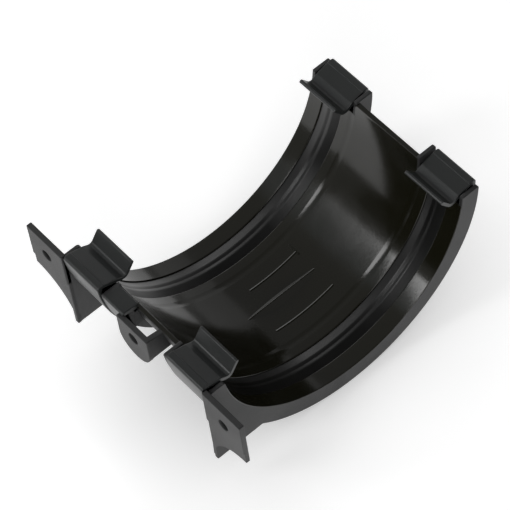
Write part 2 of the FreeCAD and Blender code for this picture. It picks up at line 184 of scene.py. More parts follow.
class CollarSizes(PropertyGroup):
    rim_radius: length("Rim radius", "Outer radius of the flanges and ribs", 65.3)
    thickness: length("Thickness", "Thickness of a flange or rib", 1.8)
    flange_front_drop: length("Flange front drop", "From the axis down to the flange's front end", 6.4)
    flange_rear_drop: length("Flange rear drop", "From the axis down to the flange's rear end", 4.8)
    rib_front_drop: length("Rib front drop", "From the axis down to the rib's front end", 4.6)
    rib_rear_drop: length("Rib rear drop", "From the axis down to the rib's rear end", 5.0)
    corner_round: length("Corner round", "Rounding of the collars' outer top corners", 0.8)
    end_round: length("End round", "Rounding of the flange's inner corner at the rear", 1.6)
    bay: length("Bay", "Room between the flange and the rib", 21.2)


class ClipSizes(PropertyGroup):
    slit: length("Slit", "Gap at each side of a clip", 0.9)
    outer_slit: length("Outer slit", "Gap between a clip and the end flange", 0.5)
    thickness: length("Thickness", "Thickness of the clip's plate", 1.8)
    front_drop: length("Front drop", "From the axis down to the front clip's top", 4.8)
    rear_drop: length("Rear drop", "From the axis down to the rear clip's top", 2.6)
    floor_drop: length("Floor drop", "From the clip's top down to the bay's floor", 6.2)
    bulge: length("Bulge", "How far the clip stands out over the flanges", 0.5)
    shoulder: length("Shoulder", "Radius of the clip's outer shoulder", 1.2)
    ledge: length("Ledge", "Height of the step along the clip's top", 0.3)
    ledge_run: length("Ledge run", "From the flanges' rim to that step", 2.9)
    root_angle: turn("Root angle", "Where the clip grows from the trough", 30.0)
    root_span: turn("Root span", "Angle that the clip's root takes up", 3.5)


class SealSizes(PropertyGroup):
    setback: length("Setback", "From the end face to the groove", 7.2)
    width: length("Groove width", "Width of the seal's groove", 10.0)
    depth: length("Groove depth", "Depth of the seal's groove", 3.0)
    wall: length("Groove wall", "Thickness of the wall behind the groove", 1.8)
    fit: length("Fit", "Gap between the seal and its groove", 0.03)
    edge: length("Edge", "Thickness of the seal at its edges", 2.55)
    proud: length("Proud", "How far the ridges stand out of the groove", 0.3)
    pitch: length("Ridge pitch", "Distance between the two ridges", 2.6)
    flat: length("Ridge flat", "Width of a ridge's crown", 0.5)
    valley: length("Valley", "Depth of the valley between the ridges", 0.16)
    sweep: turn("Sweep", "Angle that the seal runs round", 156.0)


class FasciaSizes(PropertyGroup):
    ear_reach: length("Ear reach", "From the end face to the ear's outer edge", 18.6)
    ear_thickness: length("Ear thickness", "Thickness of a screw ear", 2.3)
    ear_drop: length("Ear drop", "From the axis down to the ear's top", 3.2)
    ear_side: length("Ear side", "Length of the ear's outer edge", 24.2)
    step_drop: length("Step drop", "From the axis down to the step across the ear's back", 21.0)
    step_depth: length("Step depth", "Depth of that step", 0.5)
    lug_half_width: length("Lug half width", "Half the width of the middle lug", 8.6)
    lug_thickness: length("Lug thickness", "Thickness of the lug's plate", 2.2)
    lug_drop: length("Lug drop", "From the axis down to the lug's top", 6.1)
    lug_round_drop: length("Lug foot drop", "From the axis down to the centre of the lug's foot", 15.8)
    lug_wall: length("Lug side wall", "Thickness of the lug's side walls", 2.4)
    lug_side_drop: length("Lug side drop", "From the axis down to the foot of the side walls", 18.0)
    cover_drop: length("Cover drop", "From the axis down to the cover's top", 5.0)
    cover_thickness: length("Cover thickness", "Thickness of the cover", 2.6)
    edge: length("Edge", "Rounding of the moulded edges", 0.4)


class Finish(PropertyGroup):
    gloss_colour: colour("Inside", "Colour of the polished inside", (0.0112, 0.0106, 0.0055))
    gloss_roughness: share("Inside roughness", "Roughness of the polished inside", 0.12)
    satin_colour: colour("Outside", "Colour of the fine-textured outside", (0.035, 0.035, 0.0354))
    satin_roughness: share("Outside roughness", "Roughness of the fine-textured outside", 0.5)
    clip_colour: colour("Clips", "Colour of the spring clips", (0.030, 0.0324, 0.0318))
    clip_roughness: share("Clip roughness", "Roughness of the spring clips", 0.32)
    seal_colour: colour("Seals", "Colour of the rubber", (0.0045, 0.0045, 0.0042))
    seal_roughness: share("Seal roughness", "Roughness of the rubber", 0.33)


class StageSettings(PropertyGroup):
    table: colour("Table", "Colour of the table", (0.75, 0.75, 0.75))
    glow: share("Table glow", "How far the table is lifted to white where it is seen", 0.72)
    # The glow is darkened near the bracket by ambient occlusion, a painted shadow; the next two set how deep
    # and how far it reaches.
    shaded: share("Shaded", "Share of that lift that is left in the deepest shade", 0.3)
    shade: length("Shade", "How far the shade of the bracket reaches over the table", 55.0)
    room: share("Room light", "Strength of the light from all round", 0.29)
    aim: FloatVectorProperty(
        name="Aim",
        description="Point at the middle of the picture",
        default=(0.00624, 0.05323, 0.00508),
        unit="LENGTH",
    )
    distance: length("Distance", "From the camera to that point", 1123.0)
    azimuth: turn("Azimuth", "Turn of the camera round the bracket", 56.77)
    elevation: turn("Elevation", "Height of the camera over the horizon", 56.0)
    roll: turn("Roll", "Tilt of the camera to its right", 9.2)
    lens: FloatProperty(name="Lens", description="Focal length", default=219.4, unit="CAMERA")


class BracketSettings(PropertyGroup):
    trough: PointerProperty(type=TroughSizes)
    collar: PointerProperty(type=CollarSizes)
    clip: PointerProperty(type=ClipSizes)
    seal: PointerProperty(type=SealSizes)
    fascia: PointerProperty(type=FasciaSizes)
    finish: PointerProperty(type=Finish)
    stage: PointerProperty(type=StageSettings)


def settings():
    return bpy.context.scene.gutter_bracket


def bay_ends():
    """Where the bay between an inner rib and its end flange begins and ends along X."""
    flange_in = settings().trough.end - settings().collar.thickness
    return flange_in - settings().collar.bay, flange_in


def fillet(corners):
    """Points of a closed outline whose corners (u, v, radius) are rounded to their radii."""
    points = []
    for number, (u, v, radius) in enumerate(corners):
        here = Vector((u, v))
        if radius == 0:
            points.append((u, v))
            continue
        before = Vector(corners[number - 1][:2]) - here
        after = Vector(corners[(number + 1) % len(corners)][:2]) - here
        half = before.angle(after) / 2
        reach = min(radius / math.tan(half), SIDE_SHARE * before.length, SIDE_SHARE * after.length)
        middle = (before.normalized() + after.normalized()).normalized()
        centre = here + middle * (reach / math.cos(half))
        start = here + before.normalized() * reach - centre
        end = here + after.normalized() * reach - centre
        swing = math.atan2(start.x * end.y - start.y * end.x, start.dot(end))
        steps = max(2, round(abs(swing) / ROUND_STEP))
        for step in range(steps + 1):
            point = centre + Matrix.Rotation(swing * step / steps, 2) @ start
            points.append((point.x, point.y))
    return points


def round_axis(radius, start, end, step=math.radians(1.6), margin=0.0032):
    """Corners along an arc about the axis, kept clear of its two ends."""
    clear = math.copysign(margin / radius, end - start)
    span = end - start - 2 * clear
    count = max(1, round(abs(span) / step))
    angles = [start + clear + span * number / count for number in range(count + 1)]
    return [(radius * math.cos(angle), radius * math.sin(angle), 0) for angle in angles]


def front_angle(radius, drop):
    return -math.asin(drop / radius)


def rear_angle(radius, drop):
    return math.asin(drop / radius) - math.pi


def on_circle(radius, angle, rounding):
    return (radius * math.cos(angle), radius * math.sin(angle), rounding)


def half_ring(inner, outer, front_drop, rear_drop, inner_round, outer_round):
    """Outline of a half-round band open at the top, with level ends."""
    inside = front_angle(inner, front_drop), rear_angle(inner, rear_drop)
    outside = rear_angle(outer, rear_drop), front_angle(outer, front_drop)
    return (
        [on_circle(inner, inside[0], inner_round)]
        + round_axis(inner, *inside)
        + [on_circle(inner, inside[1], inner_round), on_circle(outer, outside[0], outer_round)]
        + round_axis(outer, *outside)
        + [on_circle(outer, outside[1], outer_round)]
    )


def hole(u, v, radius, count=40):
    angles = [math.tau * number / count for number in range(count)]
    return [(u + radius * math.cos(angle), v + radius * math.sin(angle)) for angle in angles]


def weld(mesh):
    """Joins a closed mesh's seams and turns its faces outwards."""
    work = bmesh.new()
    work.from_mesh(mesh)
    bmesh.ops.remove_doubles(work, verts=work.verts, dist=1e-7)
    bmesh.ops.recalc_face_normals(work, faces=work.faces)
    work.to_mesh(mesh)
    work.free()
    return mesh


def plate(name, outlines, turned, start, end, edge):
    """A plate of an outline with holes, between two places along X or Y, with rounded edges."""
    curve = bpy.data.curves.new(name, "CURVE")
    curve.dimensions = "2D"
    curve.fill_mode = "BOTH"
    curve.extrude = (end - start) / 2 - edge
    curve.bevel_depth = edge
    curve.bevel_resolution = 2
    curve.offset = -edge
    for points in outlines:
        spline = curve.splines.new("POLY")
        spline.points.add(len(points) - 1)
        for point, (u, v) in zip(spline.points, points):
            point.co = (u, v, 0, 1)
        spline.use_cyclic_u = True
    holder = bpy.data.objects.new(name, curve)
    mesh = bpy.data.meshes.new_from_object(holder)
    bpy.data.objects.remove(holder)
    bpy.data.curves.remove(curve)
    middle = turned.to_3x3() @ Vector((0, 0, 1)) * (start + end) / 2
    if turned is ALONG_Y:
        middle = -middle
    mesh.transform(Matrix.Translation(AXIS + middle) @ turned)
    mesh.name = name
    return weld(mesh)


def inset(points, depth):
    """A closed outline drawn in by a depth."""
    area = sum(a[0] * b[1] - b[0] * a[1] for a, b in zip(points, points[1:] + points[:1]))
    side = math.copysign(1, area)
    moved = []
    for number, point in enumerate(points):
        here = Vector(point)
        before = (here - Vector(points[number - 1])).normalized()
        after = (Vector(points[(number + 1) % len(points)]) - here).normalized()
        normals = [Vector((-line.y, line.x)) * side for line in (before, after)]
        middle = (normals[0] + normals[1]).normalized()
        moved.append(here + middle * depth / max(MITRE, middle.dot(normals[0])))
    return moved


def about_axis(x, radius, angle):
    return AXIS + Vector((x, radius * math.cos(angle), radius * math.sin(angle)))


def close_rings(name, rings):
    """A closed mesh over rings of points, with a face across each end."""
    work = bmesh.new()
    loops = [[work.verts.new(point) for point in ring] for ring in rings]
    for upper, lower in zip(loops, loops[1:]):
        for number in range(len(upper)):
            following = (number + 1) % len(upper)
            work.faces.new((upper[number], upper[following], lower[following], lower[number]))
    work.faces.new(loops[0])
    work.faces.new(loops[-1])
    mesh = bpy.data.meshes.new(name)
    work.to_mesh(mesh)
    work.free()
    return weld(mesh)


def half_round(name, section, front_drop, rear_drop, edge, steps=150):
    """A section in (X, radius) swept about the axis, with level tops whose edges are rounded."""
    rings = []
    lips = [
        (edge * (1 - math.cos(angle)), edge * (1 - math.sin(angle)))
        for angle in map(math.radians, (0, 30, 60, 90))
    ]
    for depth, shrink in lips:
        points = inset(section, shrink)
        rings.append([(x, r, front_angle(r, front_drop + depth)) for x, r in points])
    for step in range(1, steps):
        ring = []
        for x, r in section:
            first = front_angle(r, front_drop + edge)
            last = rear_angle(r, rear_drop + edge)
            ring.append((x, r, first + (last - first) * step / steps))
        rings.append(ring)
    for depth, shrink in reversed(lips):
        points = inset(section, shrink)
        rings.append([(x, r, rear_angle(r, rear_drop + depth)) for x, r in points])
    return close_rings(name, [[about_axis(*place) for place in ring] for ring in rings])


def node(tree, kind, **inputs):
    """Adds a node and sets its plain inputs by name."""
    made = tree.nodes.new(kind)
    for name, value in inputs.items():
        made.inputs[name.replace("_", " ")].default_value = value
    return made


def link(tree, *ends):
    """Adds links, each given as a node, its output, the next node and that node's input."""
    for start, output, end, entry in zip(*[iter(ends)] * 4):
        tree.links.new(start.outputs[output], end.inputs[entry])


def maths(tree, operation, value=0.0):
    """Adds a Math node, whose second value is used where nothing is linked to it."""
    made = node(tree, "ShaderNodeMath")
    made.operation = operation
    made.inputs[1].default_value = value
    return made


def new_group(name, kind, inputs, outputs):
    """An empty node group with sockets given as (name, type)."""
    tree = bpy.data.node_groups.new(name, kind)
    for in_out, sockets in (("INPUT", inputs), ("OUTPUT", outputs)):
        for label, socket in sockets:
            tree.interface.new_socket(label, in_out=in_out, socket_type="NodeSocket" + socket)
    return tree


def both_ends_tree():
    """Nodes that add the mirror image of a part at the other end of the bracket."""
    inputs = (("Geometry", "Geometry"), ("Finish", "Material"))
    tree = new_group("Both Ends", "GeometryNodeTree", inputs, (("Geometry", "Geometry"),))
    entry = node(tree, "NodeGroupInput")
    mirror = node(tree, "GeometryNodeTransform", Scale=(-1, 1, 1))
    outward = node(tree, "GeometryNodeFlipFaces")
    pair = node(tree, "GeometryNodeJoinGeometry")
    real = node(tree, "GeometryNodeRealizeInstances")
    paint = node(tree, "GeometryNodeSetMaterial")
    leave = node(tree, "NodeGroupOutput")
    link(tree, entry, "Geometry", mirror, "Geometry", mirror, 0, outward, "Mesh")
    link(tree, outward, 0, pair, 0, entry, "Geometry", pair, 0)
    link(tree, pair, 0, real, 0, real, 0, paint, "Geometry")
    link(tree, entry, "Finish", paint, "Material", paint, 0, leave, 0)
    return tree


def swept_strip_tree():
    """Nodes that sweep a closed section round the gutter's axis; its X points out and its Y to the left."""
    inputs = (
        ("Geometry", "Geometry"),
        ("Radius", "Float"),
        ("Start", "Float"),
        ("Sweep", "Float"),
        ("Steps", "Int"),
        ("Finish", "Material"),
    )
    tree = new_group("Swept Strip", "GeometryNodeTree", inputs, (("Geometry", "Geometry"),))
    entry = node(tree, "NodeGroupInput")
    section = node(tree, "GeometryNodeMeshToCurve")
    path = node(tree, "GeometryNodeCurveArc")
    path.mode = "RADIUS"
    sweep = node(tree, "GeometryNodeCurveToMesh", Fill_Caps=True)
    upright = node(
        tree, "GeometryNodeTransform", Rotation=(math.pi / 2, 0, math.pi / 2), Translation=AXIS
    )
    real = node(tree, "GeometryNodeRealizeInstances")
    paint = node(tree, "GeometryNodeSetMaterial")
    leave = node(tree, "NodeGroupOutput")
    link(tree, entry, "Geometry", section, "Mesh", entry, "Radius", path, "Radius")
    link(tree, entry, "Start", path, "Start Angle", entry, "Sweep", path, "Sweep Angle")
    link(tree, entry, "Steps", path, "Resolution", path, "Curve", sweep, "Curve")
    link(tree, section, 0, sweep, "Profile Curve", sweep, 0, upright, "Geometry")
    link(tree, upright, 0, real, 0, real, 0, paint, "Geometry")
    link(tree, entry, "Finish", paint, "Material", paint, 0, leave, 0)
    return tree


def group_of(name, maker):
    return bpy.data.node_groups.get(name) or maker()


def run_tree(mesh, tree, **inputs):
    """The plain mesh that a node tree makes of a mesh."""
    holder = bpy.data.objects.new(mesh.name, mesh)
    bpy.context.scene.collection.objects.link(holder)
    modifier = holder.modifiers.new(tree.name, "NODES")
    modifier.node_group = tree
    for item in tree.interface.items_tree:
        if item.in_out == "INPUT" and item.name in inputs:
            modifier[item.identifier] = inputs[item.name]
    depsgraph = bpy.context.evaluated_depsgraph_get()
    made = bpy.data.meshes.new_from_object(holder.evaluated_get(depsgraph))
    holder.modifiers.remove(modifier)
    bpy.data.objects.remove(holder)
    made.name = mesh.name
    made.materials.clear()
    made.materials.append(inputs["Finish"])
    return made


def add_part(mesh, finish, both=True):
    """Puts a part of the moulding with the rest, at both ends of the bracket or once."""
    if both:
        mesh = weld(run_tree(mesh, group_of("Both Ends", both_ends_tree), Finish=finish))
    elif not mesh.materials:
        mesh.materials.append(finish)
    home = bpy.data.collections.get(PARTS) or bpy.data.collections.new(PARTS)
    home.objects.link(bpy.data.objects.new(mesh.name, mesh))


def strip(name, section, radius, start, sweep, steps, finish):
    """A strip with a section in (X, radius), swept about the axis."""
    mesh = bpy.data.meshes.new(name)
    points = [(r - radius, -x, 0) for x, r in section]
    count = len(points)
    mesh.from_pydata(points, [(number, (number + 1) % count) for number in range(count)], [])
    tree = group_of("Swept Strip", swept_strip_tree)
    made = run_tree(mesh, tree, Radius=radius, Start=start, Sweep=sweep, Steps=steps, Finish=finish)
    return weld(made)


def grain_group():
    """Fine moulded grain, as a height."""
    tree = new_group("Moulded Grain", "ShaderNodeTree", (("Scale", "Float"),), (("Height", "Float"),))
    entry = node(tree, "NodeGroupInput")
    place = node(tree, "ShaderNodeTexCoord")
    noise = node(tree, "ShaderNodeTexNoise", Detail=3.0, Roughness=0.6)
    leave = node(tree, "NodeGroupOutput")
    link(tree, place, "Object", noise, "Vector", entry, "Scale", noise, "Scale")
    link(tree, noise, 0, leave, "Height")
    return tree


def handling_group():
    """Marks of handling: soft smears, and specks of dust."""
    outputs = (("Smear", "Float"), ("Dust", "Float"))
    tree = new_group("Handling Marks", "ShaderNodeTree", (("Smear Scale", "Float"),), outputs)
    entry = node(tree, "NodeGroupInput")
    place = node(tree, "ShaderNodeTexCoord")
    noise = node(tree, "ShaderNodeTexNoise", Detail=4.0, Roughness=0.55, Distortion=0.8)
    smear = node(tree, "ShaderNodeMapRange", From_Min=0.42, From_Max=0.72)
    cells = node(tree, "ShaderNodeTexVoronoi", Scale=420.0)
    speck = node(tree, "ShaderNodeMapRange", From_Min=0.10, From_Max=0.05)
    pick = node(tree, "ShaderNodeTexWhiteNoise")
    few = maths(tree, "GREATER_THAN", 0.95)
    dust = maths(tree, "MULTIPLY")
    leave = node(tree, "NodeGroupOutput")
    link(tree, place, "Object", noise, "Vector", place, "Object", cells, "Vector")
    link(tree, entry, "Smear Scale", noise, "Scale", noise, 0, smear, "Value")
    link(tree, cells, "Distance", speck, "Value", cells, "Position", pick, "Vector")
    link(tree, pick, "Value", few, 0, few, 0, dust, 0)
    link(tree, speck, 0, dust, 1, smear, 0, leave, "Smear")
    link(tree, dust, 0, leave, "Dust")
    return tree


def moulded(name, base, roughness, smear_rise, grain_scale, grain_height):
    """Black plastic or rubber with a moulded grain, smears that dull it and a few specks of dust."""
    found = bpy.data.materials.get(name)
    if found:
        return found
    material = bpy.data.materials.new(name)
    material.use_nodes = True
    tree = material.node_tree
    shader = tree.nodes["Principled BSDF"]
    marks = node(tree, "ShaderNodeGroup")
    marks.node_tree = group_of("Handling Marks", handling_group)
    marks.inputs["Smear Scale"].default_value = SMEAR_SCALE
    dusty = node(tree, "ShaderNodeMix")
    dusty.data_type = "RGBA"
    dusty.inputs["A"].default_value = (*base, 1)
    dusty.inputs["B"].default_value = DUST_COLOUR
    amount = maths(tree, "MULTIPLY", DUST_SHARE)
    dull = node(tree, "ShaderNodeMapRange", To_Min=roughness, To_Max=roughness + smear_rise)
    grain = node(tree, "ShaderNodeGroup")
    grain.node_tree = group_of("Moulded Grain", grain_group)
    grain.inputs["Scale"].default_value = grain_scale
    bump = node(tree, "ShaderNodeBump", Strength=1.0, Distance=grain_height)
    link(tree, marks, "Dust", amount, 0, amount, 0, dusty, "Factor")
    link(tree, dusty, "Result", shader, "Base Color")
    link(tree, marks, "Smear", dull, "Value", dull, 0, shader, "Roughness")
    link(tree, grain, "Height", bump, "Height", bump, 0, shader, "Normal")
    return material


def gloss():
    finish = settings().finish
    return moulded(
        "polished_inside", finish.gloss_colour, finish.gloss_roughness,
        smear_rise=0.1, grain_scale=900.0, grain_height=0.000012,
    )


def satin():
    finish = settings().finish
    return moulded(
        "textured_outside", finish.satin_colour, finish.satin_roughness,
        smear_rise=0.08, grain_scale=2600.0, grain_height=0.00009,
    )


def sprung():
    finish = settings().finish
    return moulded(
        "spring_clips", finish.clip_colour, finish.clip_roughness,
        smear_rise=0.1, grain_scale=1200.0, grain_height=0.00002,
    )


def rubber():
    finish = settings().finish
    return moulded(
        "seal_rubber", finish.seal_colour, finish.seal_roughness,
        smear_rise=0.1, grain_scale=1500.0, grain_height=0.00003,
    )


class BRACKET_OT_trough(Operator):
    """Builds the half-round trough with its seal grooves, stop fin and insertion lines"""

    bl_idname = "bracket.trough"
    bl_label = "Trough"

    def execute(self, context):
        size = settings().trough
        clip = settings().clip
        seal = settings().seal
        inner = size.inner_radius
        outer = inner + size.wall
        rib_out, _ = bay_ends()
        edge = size.edge

        joint = rib_out - JOINT_INSET
        lap = joint + JOINT_LAP
        gap = 2 * HAIR
        right = [
            (joint, inner, 0),
            (joint, inner + gap, 0),
            (lap, inner + gap, 0),
            (lap, outer - gap, 0),
            (joint, outer - gap, 0),
            (joint, outer, 0),
        ]
        middle = right + [(-x, radius, 0) for x, radius, _ in reversed(right)]
        shell = half_round("trough_middle", fillet(middle), size.front_rim_drop, size.rear_rim_drop, edge)
        add_part(shell, gloss(), both=False)

        face = size.end - 2 * HAIR
        groove_out = size.end - seal.setback
        groove_in = groove_out - seal.width
        bottom = inner + seal.depth
        back = bottom + seal.wall
        sink = rib_out + SINK_SHIFT
        hollow = [(sink - reach, inner + depth, 0) for reach, depth in SINK]
        hollow += [(sink + reach, inner + depth, 0) for reach, depth in reversed(SINK)]
        socket = [(joint, inner, 0)] + hollow + [
            (groove_in, inner, GROOVE_EDGE),
            (groove_in, bottom, edge),
            (groove_out, bottom, edge),
            (groove_out, inner, GROOVE_EDGE),
            (face, inner, edge),
            (face, outer, edge),
            (groove_out + seal.wall, outer, edge),
            (groove_out + seal.wall, back, edge),
            (groove_in - seal.wall, back, edge),
            (groove_in - seal.wall, outer, edge),
            (joint, outer, 0),
        ]
        front = clip.front_drop + clip.floor_drop
        rear = clip.rear_drop + clip.floor_drop
        add_part(half_round("trough_socket", fillet(socket), front, rear, edge), gloss())

        add_part(self.fin("stop_fin"), gloss(), both=False)
        for name, place, end in (
            ("insertion_line_right", size.line_inset, LINE_END_RIGHT),
            ("insertion_line_left", -size.line_inset, LINE_END_LEFT),
        ):
            add_part(self.line(name, place, LINE_START, end), gloss(), both=False)
        start, end = (reach - size.line_inset for reach in TICK_ENDS)
        add_part(self.tick("insertion_tick", start, end, LINE_START), gloss(), both=False)
        return {"FINISHED"}

    def fin(self, name, steps=40):
        """The stop fin: a narrow crowned top, level from end to end, and flanks that spread downwards."""
        size = settings().trough
        root = size.inner_radius + size.wall / 4
        top = -size.inner_radius * math.cos(size.fin_half_angle)
        half = size.fin_thickness / 2
        soft = half * FIN_CROWN
        first = front_angle(root, -top)
        last = rear_angle(root, -top)
        rings = []
        for step in range(steps + 1):
            angle = first + (last - first) * step / steps
            across, foot = root * math.cos(angle), root * math.sin(angle)
            brow = max(foot, top - soft)
            wide = half + (brow - foot) * size.fin_spread
            places = [(-wide, foot), (-half, brow), (0, top), (half, brow), (wide, foot)]
            rings.append([AXIS + Vector((x, across, z)) for x, z in places])
        return close_rings(name, rings)

    def line(self, name, place, start, end, steps=24):
        """A raised line round the trough's floor, between two angles in degrees."""
        size = settings().trough
        crown = size.inner_radius - size.line_height
        brow = size.inner_radius - size.line_height / 5
        root = size.inner_radius + size.line_height
        reach = size.line_width / 2
        section = fillet([
            (place - reach, root, 0),
            (place - reach, brow, 0),
            (place, crown, 0.0002),
            (place + reach, brow, 0),
            (place + reach, root, 0),
        ])
        first, sweep = math.radians(end), math.radians(start - end)
        return strip(name, section, size.inner_radius, first, sweep, steps, gloss())

    def tick(self, name, start, end, angle):
        """A short raised line along the trough, at an angle in degrees."""
        size = settings().trough
        inner = size.inner_radius
        swing = size.line_width / 2 / inner
        angle = math.radians(angle)
        rows = ((angle - swing, inner), (angle, inner - size.line_height), (angle + swing, inner))
        points = [about_axis(x, r, a) for x in (start, end) for a, r in rows]
        faces = [(0, 1, 4, 3), (1, 2, 5, 4), (2, 0, 3, 5), (0, 2, 1), (3, 4, 5)]
        mesh = bpy.data.meshes.new(name)
        mesh.from_pydata(points, [], faces)
        return weld(mesh)


class BRACKET_OT_collars(Operator):
    """Builds the end flanges, whose gussets reach the fascia, and the inner ribs"""

    bl_idname = "bracket.collars"
    bl_label = "Collars"

    def execute(self, context):
        size = settings().collar
        fascia = settings().fascia
        trough = settings().trough
        edge = trough.edge
        inner = trough.inner_radius + 8 * HAIR
        rib_out, flange_in = bay_ends()
        rib = half_ring(
            inner + 5 * HAIR,
            size.rim_radius,
            size.rib_front_drop,
            size.rib_rear_drop,
            edge,
            size.corner_round,
        )
        add_part(plate("rib", [fillet(rib)], ALONG_X, rib_out - size.thickness, rib_out, edge), satin())

        rim = size.rim_radius
        reach = AXIS.y - fascia.step_depth - 3 * HAIR
        ear_curve = fascia.ear_reach + size.thickness
        ear_tip = fascia.ear_drop + fascia.ear_side + ear_curve
        inside = front_angle(inner, size.flange_front_drop), rear_angle(inner, size.flange_rear_drop)
        outside = rear_angle(rim, ear_tip), front_angle(rim, size.flange_front_drop)
        flange = (
            [on_circle(inner, inside[0], edge)]
            + round_axis(inner, *inside)
            + [
                on_circle(inner, inside[1], size.end_round),
                (-reach, -size.flange_rear_drop, FINE_EDGE),
                (-reach, -ear_tip, edge),
                on_circle(rim, outside[0], edge),
            ]
            + round_axis(rim, *outside)
            + [on_circle(rim, outside[1], size.corner_round)]
        )
        add_part(plate("flange", [fillet(flange)], ALONG_X, flange_in, trough.end, edge), satin())
        return {"FINISHED"}


class BRACKET_OT_clips(Operator):
    """Builds the four spring clips that hook over the gutter's edges"""

    bl_idname = "bracket.clips"
    bl_label = "Spring Clips"

    def execute(self, context):
        size = settings().clip
        rib_out, flange_in = bay_ends()
        start = rib_out + size.slit
        end = flange_in - size.outer_slit
        for name, side, drop in (("front_clip", 1, size.front_drop), ("rear_clip", -1, size.rear_drop)):
            outline = [(side * u, v, radius) for u, v, radius in self.section(drop)]
            add_part(plate(name, [fillet(outline)], ALONG_X, start, end, CLIP_EDGE), sprung())
        return {"FINISHED"}

    def section(self, drop):
        """The clip at the front: a tongue, a shoulder with a step, a plate, a hook and a finger lip."""
        size = settings().clip
        seal = settings().seal
        rim = settings().collar.rim_radius
        thick = size.thickness
        outer = rim + size.bulge
        skin = outer - thick
        seat = settings().trough.inner_radius + seal.depth + seal.wall / 2
        low = -size.root_angle - size.root_span
        top = front_angle(outer, drop)
        under = front_angle(skin, drop + thick)
        ledge = rim - size.ledge_run
        return (
            [on_circle(seat, low, 0), on_circle(outer, low, 0.0005)]
            + round_axis(outer, low, top, margin=0.003)
            + [
                on_circle(outer, top, size.shoulder),
                (ledge, -drop, 0.00025),
                (ledge - 10 * HAIR, -drop - size.ledge, 0.00025),
            ]
            + [(rim - inwards, up - drop, rounding) for inwards, up, rounding in CLIP_CORNERS]
            + [
                (rim - PLATE_RUN, -drop - PLATE_FALL - thick, 0.0016),
                (ledge, -drop - thick, 0.0008),
                on_circle(skin, under, 0.0010),
            ]
            + round_axis(skin, under, -size.root_angle, margin=0.002)
            + [on_circle(skin, -size.root_angle, 0), on_circle(seat, -size.root_angle, 0)]
        )


class BRACKET_OT_ears(Operator):
    """Builds the two screw ears in the fascia plane"""

    bl_idname = "bracket.ears"
    bl_label = "Screw Ears"

    def execute(self, context):
        size = settings().fascia
        trough = settings().trough
        inner = trough.end - settings().collar.thickness
        outer = trough.end + size.ear_reach
        curve = size.ear_reach + settings().collar.thickness
        low = size.ear_drop + size.ear_side
        tip = low + curve
        back = -AXIS.y
        front = back + size.ear_thickness
        screw = hole(SCREWS["spacing_x_mm"] / 2 * MM, -AXIS.z, SCREWS["hole_r_mm"] * MM)
        hollow = [
            (outer - curve * math.cos(angle), -tip + curve * math.sin(angle), 0)
            for angle in (math.radians(ARC_STEP * step) for step in range(1, 15))
        ]
        gap = 2 * HAIR
        ear = (
            [(inner, -size.ear_drop - gap, FINE_EDGE), (inner, -tip, 0)]
            + hollow
            + [(outer - gap, -low, FINE_EDGE), (outer - gap, -size.ear_drop - gap, size.edge)]
        )
        plain = back + size.step_depth
        add_part(plate("ear", [fillet(ear), screw], ALONG_Y, plain, front, FINE_EDGE), satin())
        upper = [
            (inner, -size.ear_drop, FINE_EDGE),
            (inner, -size.step_drop, 0),
            (outer, -size.step_drop, 0),
            (outer, -size.ear_drop, size.edge),
        ]
        add_part(plate("ear_pad", [fillet(upper), screw], ALONG_Y, back, front - gap, FINE_EDGE), satin())
        return {"FINISHED"}


class BRACKET_OT_lug(Operator):
    """Builds the middle lug with its side walls, and the cover beside it"""

    bl_idname = "bracket.lug"
    bl_label = "Lug and Cover"

    def execute(self, context):
        size = settings().fascia
        trough = settings().trough
        collar = settings().collar
        edge = size.edge
        back = -AXIS.y
        half = size.lug_half_width
        foot = [
            (half * math.cos(angle), -size.lug_round_drop + half * math.sin(angle), 0)
            for angle in (math.radians(-ARC_STEP * step) for step in range(31))
        ]
        lug = [(-half, -size.lug_drop, 0.0005), (half, -size.lug_drop, 0.0005)] + foot
        screw = hole(0, -AXIS.z, MOUNTS["lug_screw"]["dims"]["r_mm"] * MM)
        tongue = plate("lug", [fillet(lug), screw], ALONG_Y, back, back + size.lug_thickness, FINE_EDGE)
        add_part(tongue, satin(), both=False)
        anchor = trough.inner_radius + trough.wall / 2
        tuck = back + size.lug_thickness / 2
        low = rear_angle(anchor, size.lug_side_drop)
        high = rear_angle(anchor, trough.rear_rim_drop + FINE_EDGE)
        wall = (
            [(tuck, -size.lug_drop, 0.0004), (tuck, -size.lug_side_drop, 0.0004), on_circle(anchor, low, 0)]
            + round_axis(anchor, low, high, margin=0.001)
            + [on_circle(anchor, high, 0)]
        )
        wall_in = half - size.lug_wall
        wall_out = half - 4 * HAIR
        add_part(plate("lug_wall", [fillet(wall)], ALONG_X, wall_in, wall_out, FINE_EDGE), satin())

        rim = collar.rim_radius
        thick = size.cover_thickness
        skin = rim - thick
        seat = trough.inner_radius + 0.0006
        foot_drop = 0.018
        lap = trough.rear_rim_drop + 0.002
        under = size.cover_drop + thick
        outside = rear_angle(rim, foot_drop), rear_angle(rim, size.cover_drop)
        inside = rear_angle(skin, under), rear_angle(skin, foot_drop)
        cover = (
            [on_circle(rim, outside[0], edge)]
            + round_axis(rim, *outside)
            + [
                on_circle(rim, outside[1], 0.0009),
                (-seat, -size.cover_drop, edge),
                (-seat, -lap, 0),
                (-seat - thick, -lap, 0),
                (-seat - thick, -under, edge),
                on_circle(skin, inside[0], edge),
            ]
            + round_axis(skin, *inside)
            + [on_circle(skin, inside[1], edge)]
        )
        rib_in = trough.end - 2 * collar.thickness - collar.bay
        start = -rib_in - 0.0005
        add_part(plate("cover", [fillet(cover)], ALONG_X, start, -wall_in, FINE_EDGE), sprung(), both=False)
        return {"FINISHED"}


